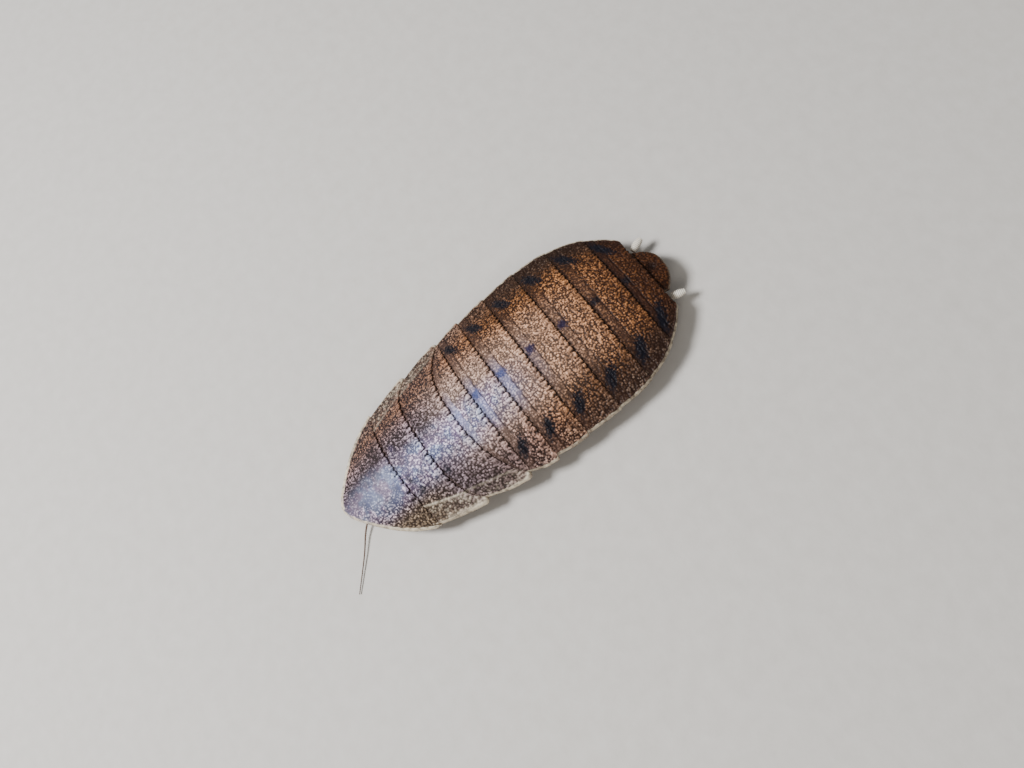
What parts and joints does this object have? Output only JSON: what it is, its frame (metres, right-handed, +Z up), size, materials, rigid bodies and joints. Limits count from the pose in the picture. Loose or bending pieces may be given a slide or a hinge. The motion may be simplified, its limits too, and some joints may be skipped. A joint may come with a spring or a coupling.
{
  "type": "bark cockroach",
  "caption": "Still, life-size wingless bark cockroach, crouched flat: overlapping grained back plates, neck shield, head, feelers, tucked spiny legs and tail pegs.",
  "frame": {"origin": "on the floor under the flat of the belly, on the body's midline, half way along the body's length", "axes": "+Z up, -Y where the head points, +X the animal's left side"},
  "size_m": [0.0133, 0.0304, 0.0041],
  "materials": {
    "shield_plate": "hard neck shield with a fine grain, half matt, purplish brown with a pale rim",
    "thorax_plate": "hard plates with a fine grain, half matt, purplish brown with pale side lobes",
    "abdomen_plate": "hard plates covered in fine grains, half matt, orange brown on dark brown",
    "tail_plate": "hard plate with a fine grain, half matt, orange brown",
    "underside": "smooth hard belly and chest plates, half gloss, dark red brown",
    "head": "smooth hard head, half gloss, dark brown",
    "eye": "glossy black compound eye",
    "feeler": "matt brown ringed feeler",
    "leg": "hard, half gloss, red brown leg with darker spines",
    "cercus": "smooth ivory tail peg"
  },
  "bodies": {
    "root": {"pronotum": "shield_plate", "mesonotum": "thorax_plate", "metanotum": "thorax_plate", "supra_anal_plate": "tail_plate", "thorax": "underside", "abdomen": "underside", "head": "head", "tergite_1": "abdomen_plate", "tergite_2": "abdomen_plate", "tergite_3": "abdomen_plate", "tergite_4": "abdomen_plate", "tergite_5": "abdomen_plate", "tergite_6": "abdomen_plate", "tergite_7": "abdomen_plate", "eye_left": "eye", "antenna_left": "feeler", "palp_left": "feeler", "cercus_left": "cercus", "femur_front_left": "leg", "tibia_front_left": "leg", "femur_middle_left": "leg", "tibia_middle_left": "leg", "femur_hind_left": "leg", "tibia_hind_left": "leg", "eye_right": "eye", "antenna_right": "feeler", "palp_right": "feeler", "cercus_right": "cercus", "femur_front_right": "leg", "tibia_front_right": "leg", "femur_middle_right": "leg", "tibia_middle_right": "leg", "femur_hind_right": "leg", "tibia_hind_right": "leg"}
  },
  "joints": []
}
